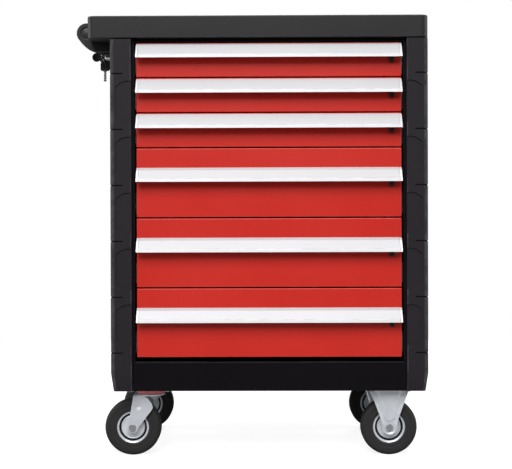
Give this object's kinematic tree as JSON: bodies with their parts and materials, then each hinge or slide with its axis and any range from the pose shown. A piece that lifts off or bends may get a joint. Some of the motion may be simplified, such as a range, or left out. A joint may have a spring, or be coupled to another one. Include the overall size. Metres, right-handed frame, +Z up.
{
  "type": "tool cabinet",
  "caption": "Roller tool cabinet with red drawers, aluminium pull profiles, corner bumpers, a rimmed worktop with side push handle, a key lock and casters.",
  "frame": {"origin": "on the floor, in the middle of the box around the whole cabinet", "axes": "+Z up, -Y towards the drawer fronts, -X towards the push handle and lock"},
  "size_m": [0.7796, 0.465, 0.971],
  "materials": {
    "carcass_black": "satin",
    "bumper_grey": "matte",
    "worktop_black": "satin",
    "grip_black": "matte",
    "drawer_red": "satin",
    "drawer_grey": "satin",
    "handle_aluminium": "satin",
    "catch_black": "matte",
    "slide_zinc": "zinc plated",
    "lock_chrome": "polished",
    "key_black": "gloss",
    "caster_zinc": "zinc plated",
    "seal_red": "satin",
    "tyre_rubber": "matte"
  },
  "bodies": {
    "carcass": {"base_pan": "carcass_black", "left_side_panel": "carcass_black", "right_side_panel": "carcass_black", "back_panel": "carcass_black", "corner_posts": "carcass_black", "corner_bumpers": "bumper_grey", "top_frame": "carcass_black", "worktop": "worktop_black", "handle_brackets": "worktop_black", "handle_grip": "grip_black", "lock_cylinder": "lock_chrome", "slide_outer_rails": "slide_zinc", "rigid_forks": "caster_zinc", "swivel_plates": "caster_zinc", "swivel_seals": "seal_red", "caster_fasteners": "caster_zinc"},
    "drawer_1": {"drawer_box_1": "drawer_grey", "drawer_front_1": "drawer_red", "drawer_handle_1": "handle_aluminium"},
    "slide_middle_1": {"slide_middle_1": "slide_zinc"},
    "catch_1": {"drawer_catch_1": "catch_black"},
    "drawer_2": {"drawer_box_2": "drawer_grey", "drawer_front_2": "drawer_red", "drawer_handle_2": "handle_aluminium"},
    "slide_middle_2": {"slide_middle_2": "slide_zinc"},
    "catch_2": {"drawer_catch_2": "catch_black"},
    "drawer_3": {"drawer_box_3": "drawer_grey", "drawer_front_3": "drawer_red", "drawer_handle_3": "handle_aluminium"},
    "slide_middle_3": {"slide_middle_3": "slide_zinc"},
    "catch_3": {"drawer_catch_3": "catch_black"},
    "drawer_4": {"drawer_box_4": "drawer_grey", "drawer_front_4": "drawer_red", "drawer_handle_4": "handle_aluminium"},
    "slide_middle_4": {"slide_middle_4": "slide_zinc"},
    "catch_4": {"drawer_catch_4": "catch_black"},
    "drawer_5": {"drawer_box_5": "drawer_grey", "drawer_front_5": "drawer_red", "drawer_handle_5": "handle_aluminium"},
    "slide_middle_5": {"slide_middle_5": "slide_zinc"},
    "catch_5": {"drawer_catch_5": "catch_black"},
    "drawer_6": {"drawer_box_6": "drawer_grey", "drawer_front_6": "drawer_red", "drawer_handle_6": "handle_aluminium"},
    "slide_middle_6": {"slide_middle_6": "slide_zinc"},
    "catch_6": {"drawer_catch_6": "catch_black"},
    "key": {"lock_plug": "lock_chrome", "key": "key_black"},
    "lock_bar": {"lock_bar": "slide_zinc"},
    "spare_key": {"spare_key": "key_black"},
    "swivel_front": {"swivel_fork_front": "caster_zinc"},
    "wheel_front_left": {"rim_front_left": "caster_zinc", "tyre_front_left": "tyre_rubber"},
    "wheel_front_right": {"rim_front_right": "caster_zinc", "tyre_front_right": "tyre_rubber"},
    "swivel_rear": {"swivel_fork_rear": "caster_zinc"},
    "wheel_rear_left": {"rim_rear_left": "caster_zinc", "tyre_rear_left": "tyre_rubber"},
    "wheel_rear_right": {"rim_rear_right": "caster_zinc", "tyre_rear_right": "tyre_rubber"}
  },
  "joints": [
    {"name": "drawer_1_slide", "type": "slide", "parent": "carcass", "child": "drawer_1", "axis": [0, -1, 0], "range_m": [0, 0.36]},
    {"name": "slide_middle_1_run", "type": "slide", "parent": "carcass", "child": "slide_middle_1", "axis": [0, -1, 0], "range_m": [0, 0.18]},
    {"name": "catch_1_press", "type": "slide", "parent": "drawer_1", "child": "catch_1", "axis": [-1, 0, 0], "range_m": [0, 0.008], "stiffness_N_per_m": 200},
    {"name": "drawer_2_slide", "type": "slide", "parent": "carcass", "child": "drawer_2", "axis": [0, -1, 0], "range_m": [0, 0.36]},
    {"name": "slide_middle_2_run", "type": "slide", "parent": "carcass", "child": "slide_middle_2", "axis": [0, -1, 0], "range_m": [0, 0.18]},
    {"name": "catch_2_press", "type": "slide", "parent": "drawer_2", "child": "catch_2", "axis": [-1, 0, 0], "range_m": [0, 0.008], "stiffness_N_per_m": 200},
    {"name": "drawer_3_slide", "type": "slide", "parent": "carcass", "child": "drawer_3", "axis": [0, -1, 0], "range_m": [0, 0.36]},
    {"name": "slide_middle_3_run", "type": "slide", "parent": "carcass", "child": "slide_middle_3", "axis": [0, -1, 0], "range_m": [0, 0.18]},
    {"name": "catch_3_press", "type": "slide", "parent": "drawer_3", "child": "catch_3", "axis": [-1, 0, 0], "range_m": [0, 0.008], "stiffness_N_per_m": 200},
    {"name": "drawer_4_slide", "type": "slide", "parent": "carcass", "child": "drawer_4", "axis": [0, -1, 0], "range_m": [0, 0.36]},
    {"name": "slide_middle_4_run", "type": "slide", "parent": "carcass", "child": "slide_middle_4", "axis": [0, -1, 0], "range_m": [0, 0.18]},
    {"name": "catch_4_press", "type": "slide", "parent": "drawer_4", "child": "catch_4", "axis": [-1, 0, 0], "range_m": [0, 0.008], "stiffness_N_per_m": 200},
    {"name": "drawer_5_slide", "type": "slide", "parent": "carcass", "child": "drawer_5", "axis": [0, -1, 0], "range_m": [0, 0.36]},
    {"name": "slide_middle_5_run", "type": "slide", "parent": "carcass", "child": "slide_middle_5", "axis": [0, -1, 0], "range_m": [0, 0.18]},
    {"name": "catch_5_press", "type": "slide", "parent": "drawer_5", "child": "catch_5", "axis": [-1, 0, 0], "range_m": [0, 0.008], "stiffness_N_per_m": 200},
    {"name": "drawer_6_slide", "type": "slide", "parent": "carcass", "child": "drawer_6", "axis": [0, -1, 0], "range_m": [0, 0.36]},
    {"name": "slide_middle_6_run", "type": "slide", "parent": "carcass", "child": "slide_middle_6", "axis": [0, -1, 0], "range_m": [0, 0.18]},
    {"name": "catch_6_press", "type": "slide", "parent": "drawer_6", "child": "catch_6", "axis": [-1, 0, 0], "range_m": [0, 0.008], "stiffness_N_per_m": 200},
    {"name": "key_turn", "type": "hinge", "parent": "carcass", "child": "key", "pos_m": [-0.2972, -0.1135, 0.897], "axis": [1, 0, 0], "range_deg": [0, 90]},
    {"name": "lock_bar_drop", "type": "slide", "parent": "carcass", "child": "lock_bar", "axis": [0, 0, -1], "range_m": [0, 0.01]},
    {"name": "spare_key_swing", "type": "hinge", "parent": "carcass", "child": "spare_key", "pos_m": [-0.2972, -0.1135, 0.897], "axis": [1, 0, 0], "range_deg": [-25, 25]},
    {"name": "swivel_front_turn", "type": "hinge", "parent": "carcass", "child": "swivel_front", "pos_m": [-0.2247, -0.1605, 0.138], "axis": [0, 0, 1], "continuous": true},
    {"name": "wheel_front_left_spin", "type": "hinge", "parent": "swivel_front", "child": "wheel_front_left", "pos_m": [-0.2637, -0.1605, 0.0625], "axis": [0, 1, 0], "continuous": true},
    {"name": "wheel_front_right_spin", "type": "hinge", "parent": "carcass", "child": "wheel_front_right", "pos_m": [0.3073, -0.1605, 0.0625], "axis": [0, 1, 0], "continuous": true},
    {"name": "swivel_rear_turn", "type": "hinge", "parent": "carcass", "child": "swivel_rear", "pos_m": [-0.2247, 0.1695, 0.138], "axis": [0, 0, 1], "continuous": true},
    {"name": "wheel_rear_left_spin", "type": "hinge", "parent": "swivel_rear", "child": "wheel_rear_left", "pos_m": [-0.2637, 0.1695, 0.0625], "axis": [0, 1, 0], "continuous": true},
    {"name": "wheel_rear_right_spin", "type": "hinge", "parent": "carcass", "child": "wheel_rear_right", "pos_m": [0.3073, 0.1695, 0.0625], "axis": [0, 1, 0], "continuous": true}
  ],
  "couplings": [
    {"joint": "slide_middle_1_run", "follows": "drawer_1_slide", "ratio": 0.5},
    {"joint": "slide_middle_2_run", "follows": "drawer_2_slide", "ratio": 0.5},
    {"joint": "slide_middle_3_run", "follows": "drawer_3_slide", "ratio": 0.5},
    {"joint": "slide_middle_4_run", "follows": "drawer_4_slide", "ratio": 0.5},
    {"joint": "slide_middle_5_run", "follows": "drawer_5_slide", "ratio": 0.5},
    {"joint": "slide_middle_6_run", "follows": "drawer_6_slide", "ratio": 0.5},
    {"joint": "key_turn", "follows": "lock_bar_drop", "rad_per_m": 157.08}
  ]
}
